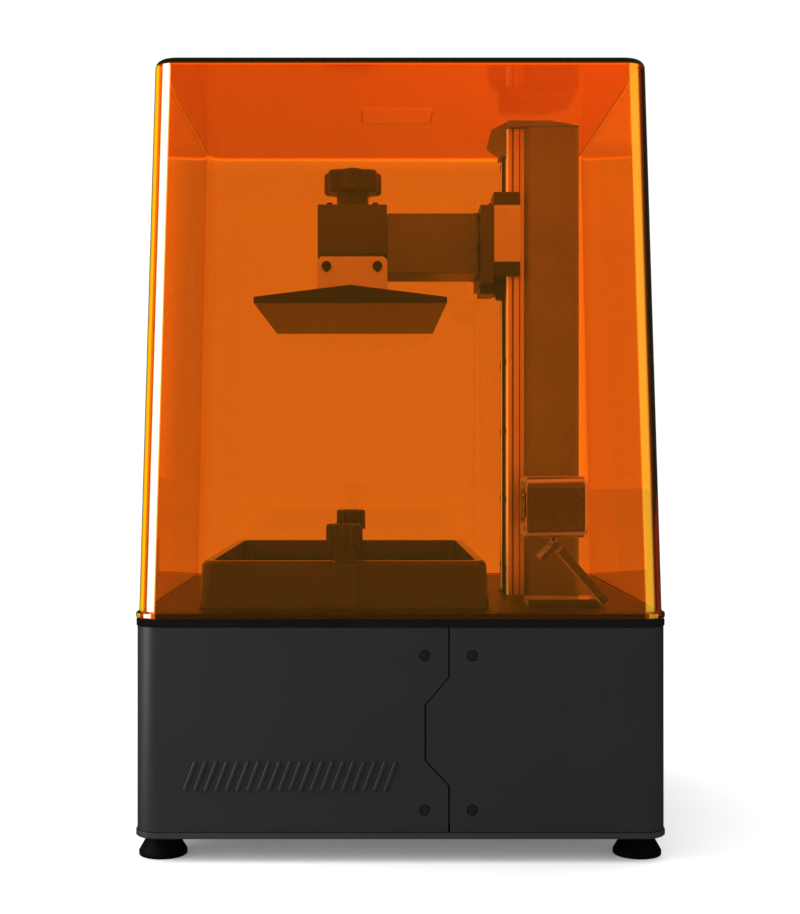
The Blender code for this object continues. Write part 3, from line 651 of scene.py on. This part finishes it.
def knob_pieces():
    low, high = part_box("plate_knob")
    middle = ((low[0] + high[0]) / 2, PLATE_Y)
    top = high[2]
    stem = [(0.0049, low[2]), (0.0049, 0.5284), (0.0136, 0.5284), (0.014, 0.5288), (0.014, 0.5416)]
    stem += [(0.0140, 0.5430)]
    stem = piece("plate_knob_stem", turned(stem, middle), "black_plastic", "knob")
    rim = [(0.80, 0.5416), (0.94, 0.5418), (0.985, 0.5428), (1.0, 0.5444), (1.0, 0.5575)]
    rim += [(0.985, 0.5595), (0.94, 0.5609), (0.86, top), (0.55, top), (0.52, top - 0.0008), (0.2, top - 0.0008)]
    head = piece("plate_knob_head", lobed(middle, rim, 0.026, 0.0044, 7, 168), "black_plastic", "knob", smooth=50)
    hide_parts("plate_knob")
    for name, side in (("left", -1), ("right", 1)):
        node = "vat_knob_" + name
        centre = (side * VAT_KNOB[0], VAT_KNOB[1])
        shaft = [(0.0029, 0.186), (0.0029, 0.2267), (0.0086, 0.2267), (0.009, 0.2271), (0.009, 0.2380)]
        piece(node + "_shaft", turned(shaft, centre, 32), "black_plastic", node + "_body")
        rim = [(0.80, 0.2366), (0.95, 0.2367), (1.0, 0.2376), (1.0, 0.2540), (0.96, 0.2553), (0.88, 0.2560)]
        rim += [(0.60, 0.2560), (0.56, 0.2555), (0.2, 0.2555)]
        knob = lobed(centre, rim, 0.01425, 0.0017, 12, 144)
        knob = piece(node + "_head", knob, "black_plastic", node + "_body", smooth=50)
        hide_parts(node)


# ---- lift details ----


def rails():
    """The two profiled guide rails, with grooved flanks and bevelled front edges."""
    groove, bevel, taper = 0.0015, 0.0014, 0.0003
    for name in ("left", "right"):
        low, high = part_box("rail_" + name)
        side, front, back = low[0], low[1], high[1]
        half = [(side + bevel, front), (side, front + bevel)]
        for start, end in ((0.0044, 0.0062), (0.0108, 0.0118)):
            half += [(side, front + start), (side + groove, front + start + taper)]
            half += [(side + groove, front + end - taper), (side, front + end)]
        half.append((side, back))
        outline = half + [(low[0] + high[0] - x, y) for x, y in reversed(half)]
        bm = loft([at_height(outline, low[2]), at_height(outline, high[2])])
        rail = piece(f"guide_rail_{name}", bm, "steel", "base", smooth=20, material=finish_of("rail_steel"))
        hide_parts("rail_" + name)


def thread():
    """The lead screw with its thread, as a helix of ridges."""
    low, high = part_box("lead_screw")
    pitch, steps, crest, root = 0.002, 20, 0.0044, 0.0036
    middle_y = (low[1] + high[1]) / 2
    turns = int((high[2] - low[2] - 0.004) / pitch)
    bm = bmesh.new()
    shape = [(root, 0.0), (root, 0.35), (crest, 0.5), (crest, 0.85)]
    rows = []
    for index in range(turns * steps + 1):
        turn = math.tau * index / steps
        base = low[2] + 0.001 + pitch * index / steps
        row = []
        for radius, share in shape:
            x, y = radius * math.cos(turn), middle_y + radius * math.sin(turn)
            row.append(bm.verts.new((x, y, base + pitch * share)))
        rows.append(row)
    for index, (first, second) in enumerate(zip(rows, rows[1:])):
        for place in range(len(shape) - 1):
            bm.faces.new((first[place], second[place], second[place + 1], first[place + 1]))
        if index + steps + 1 < len(rows):
            above, above_next = rows[index + steps], rows[index + steps + 1]
            bm.faces.new((first[-1], second[-1], above_next[0], above[0]))
    core = [(0.0033, low[2]), (0.0037, low[2] + 0.0005), (0.0037, high[2] - 0.0005), (0.0033, high[2])]
    turned(core, (0, middle_y), 20, bm)
    screw = piece("lead_screw_thread", bm, "black_steel", "screw", smooth=50)
    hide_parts("lead_screw")


def cap_screw(bm, place, turn, radius=0.0028, height=0.0026):
    """A socket-head screw, drawn standing on +Z and then turned into place."""
    drawn = bmesh.new()
    profile = [(radius, 0.0), (radius, height * 0.85), (radius * 0.9, height), (radius * 0.52, height)]
    profile += [(radius * 0.5, height * 0.45), (radius * 0.1, height * 0.42)]
    turned(profile, (0, 0), 24, drawn)
    placed(drawn, Matrix.Translation(place) @ turn)
    copy = bpy.data.meshes.new("screw")
    drawn.to_mesh(copy)
    drawn.free()
    bm.from_mesh(copy)
    bpy.data.meshes.remove(copy)


def facing(axis):
    return Vector((0, 0, 1)).rotation_difference(Vector(axis)).to_matrix().to_4x4()


def lift_screws():
    """The cap screws of the rails, the carriage plate and the arm head."""
    rail_low, rail_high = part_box("rail_right")
    bm = bmesh.new()
    for side in (-1, 1):
        for index in range(7):
            height = rail_low[2] + 0.022 + 0.060 * index
            if not 0.43 < height < 0.57:
                place = (side * (rail_low[0] + rail_high[0]) / 2, rail_low[1], height)
                cap_screw(bm, place, facing((0, -1, 0)), 0.0032, 0.0003)
    piece("rail_screws", bm, "black_steel", "base")
    bm = bmesh.new()
    plate_low, plate_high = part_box("carriage_plate")
    for side in (-1, 1):
        for height in (0.490, 0.515):
            cap_screw(bm, (side * 0.0405, plate_low[1], height), facing((0, -1, 0)))
    piece("carriage_screws", bm, "black_steel", "carriage")
    bm = bmesh.new()
    for side in (-1, 1):
        for along in (-0.020, 0.020):
            cap_screw(bm, (side * 0.024, PLATE_Y + along, 0.5281), facing((0, 0, 1)), 0.0026, 0.0022)
    piece("arm_head_screws", bm, "black_steel", "carriage")


def block_caps():
    """The black end plates of the two rail blocks."""
    grow, room = 0.0002, 0.0004
    for name in ("left", "right"):
        low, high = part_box("carriage_block_" + name)
        rail_low, rail_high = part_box("rail_" + name)
        outline = [(low[0] - grow, low[1] - grow), (high[0] + grow, low[1] - grow)]
        outline += [(high[0] + grow, high[1]), (low[0] - grow, high[1])]
        inner = [(rail_low[0] - room, high[1]), (rail_low[0] - room, rail_low[1] - room)]
        inner += [(rail_high[0] + room, rail_low[1] - room), (rail_high[0] + room, high[1])]
        ring = outline[:3] + inner[::-1] + outline[3:]
        spans = (("low", low[2] - grow, low[2] + 0.0119), ("high", high[2] - 0.0112, high[2] + grow))
        for end, bottom, top in spans:
            bm = loft([at_height(ring, bottom), at_height(ring, top)])
            piece(f"block_cap_{name}_{end}", bm, "black_plastic", "carriage", bevel=0.0004)


def camera_details():
    """The dark window and lens on the front of the monitoring camera."""
    low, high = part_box("camera_housing")
    centre_x, centre_z = (low[0] + high[0]) / 2, (low[2] + high[2]) / 2
    front = low[1]

    def ring(half_x, half_z, radius, place_y):
        outline = rounded(half_x, half_z, radius, (centre_x, centre_z), 8)
        return [(x, place_y, z) for x, z in outline]

    window = loft([ring(0.0212, 0.0180, 0.007, front + 0.0037), ring(0.0212, 0.0180, 0.007, front + 0.0021),
                   ring(0.0205, 0.0173, 0.0065, front + 0.0018)])
    piece("camera_window", window, "dark_glass", "camera")
    profile = [(0.0100, 0.0), (0.0100, 0.0014), (0.0092, 0.0018), (0.0080, 0.0016), (0.0062, 0.0006)]
    profile += [(0.0060, 0.0010), (0.0040, 0.0016), (0.0010, 0.0018)]
    spot = Matrix.Translation((centre_x, front + 0.0019, centre_z + 0.001))
    lens = placed(turned(profile, (0, 0)), spot @ facing((0, -1, 0)))
    piece("camera_lens", lens, "dark_glass", "camera", smooth=60)


# ---- controls and sockets ----


def framed(name, low, high, wall, places, slot, body):
    """A rectangular frame standing in the XZ plane, between two places along Y."""
    corners = ((low[0], low[1]), (high[0], low[1]), (high[0], high[1]), (low[0], high[1]))
    signs = ((1, 1), (-1, 1), (-1, -1), (1, -1))
    inner = [(x + wall * side_x, z + wall * side_z) for (x, z), (side_x, side_z) in zip(corners, signs)]
    rings = [[(x, place, z) for x, z in outline] for outline, place in
             ((corners, places[0]), (corners, places[1]), (inner, places[1]), (inner, places[0]))]
    return piece(name, loft(rings, around_too=True), slot, body, bevel=0.0002)


def block(bm, low, high):
    """Adds a box between two corners."""
    outline = [(low[0], low[1]), (high[0], low[1]), (high[0], high[1]), (low[0], high[1])]
    return loft([at_height(outline, low[2]), at_height(outline, high[2])], bm)


def controls():
    """The touch screen's picture area, the USB port's shell and tongue, and the inlet's pins."""
    low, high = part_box("touchscreen")
    inset, face = 0.0045, low[1]
    outline = rounded((high[0] - low[0]) / 2 - inset, (high[2] - low[2]) / 2 - inset, 0.0008,
                      ((low[0] + high[0]) / 2, (low[2] + high[2]) / 2), 4)
    rings = [[(x, place, z) for x, z in outline] for place in (face + 0.0004, face - 0.00008)]
    piece("touchscreen_picture", loft(rings), "dark_glass", "base", material=finish_of("picture_glass"))
    low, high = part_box("usb_port")
    middle, height = (low[0] + high[0]) / 2, (low[2] + high[2]) / 2
    framed("usb_shell", (middle - 0.0061, height - 0.0025), (middle + 0.0061, height + 0.0025), 0.0003,
           (low[1] + 0.0002, low[1] + 0.013), "bare_aluminium", "base")
    tongue = block(bmesh.new(), (middle - 0.0052, low[1] + 0.0015, height + 0.0001),
                   (middle + 0.0052, low[1] + 0.014, height + 0.0017))
    piece("usb_tongue", tongue, "black_plastic", "base", bevel=0.0002)
    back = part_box("power_inlet")[1][1]
    pins = bmesh.new()
    for across, up in ((-0.007, -0.0015), (0.0, 0.0025), (0.007, -0.0015)):
        x, z = INLET_MIDDLE + across, INLET_HEIGHT + up
        block(pins, (x - 0.001, 0.1865, z - 0.002), (x + 0.001, back - 0.005, z + 0.002))
    piece("inlet_pins", pins, "steel", "base", bevel=0.0002)


# which lamps reach which pieces, by how their names start
OUTSIDE = ("front_shell", "rear_shell", "bottom_pan", "panel_screw", "side_bracket", "side_ribs", "leveling_foot",
           "touchscreen", "usb_", "power_inlet", "power_switch", "inlet_pins")
GLINTING = ("guide_rail", "carriage_block", "vat", "camera", "plate_knob", "plate_bracket", "arm", "build_plate",
            "column_cap")
OWN_FINISH = {
    "vat": "vat_grey",
    "column": "column_grey",
    "column_cap": "column_grey",
    "rail_left": "rail_steel",
    "rail_right": "rail_steel",
    "arm": "arm_grey",
    "build_plate": "plate_black",
    "top_plate": "deck_black",
    "lead_nut": "black_plastic",
    "usb_port": "black_plastic",
    "side_bracket_left": "black_steel",
    "side_bracket_right": "black_steel",
    "camera_housing": "camera_grey",
    "camera_stand_base": "camera_grey",
    "camera_stand_arm": "camera_grey",
    "camera_stand_link": "camera_grey",
}


def finish_cad_nodes():
    """Every CAD node that stays gets its slot's finish and slightly rounded edges."""
    widths = {"arm": 0.0008, "arm_head": 0.0008, "column": 0.0005, "column_cap": 0.0006, "vat": 0.0004}
    for entry in frame["record"]["subparts"]:
        node = frame["nodes"][entry["node"]]
        node.data.materials.clear()
        node.data.materials.append(finish_of(OWN_FINISH.get(node.name, entry["material_slot"])))
        for polygon in node.data.polygons:
            polygon.use_smooth = True
        soften(node, widths.get(entry["node"], 0.0003))


def link_lamps():
    """The key light and overhead reach only what stands outside the cover, and the glints only what shines."""
    outside = bpy.data.collections["outside_pieces"]
    outside.objects.link(bpy.data.objects["floor"])
    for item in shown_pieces():
        if item.name.startswith(OUTSIDE):
            outside.objects.link(item)
        if item.name.startswith(GLINTING):
            bpy.data.collections["glinting_pieces"].objects.link(item)


def main():
    add_camera()
    add_light()
    add_floor()
    finish_cad_nodes()
    cover_piece()
    side_ribs()
    foot_pieces()
    knob_pieces()
    rails()
    thread()
    lift_screws()
    block_caps()
    camera_details()
    controls()
    link_lamps()


main()
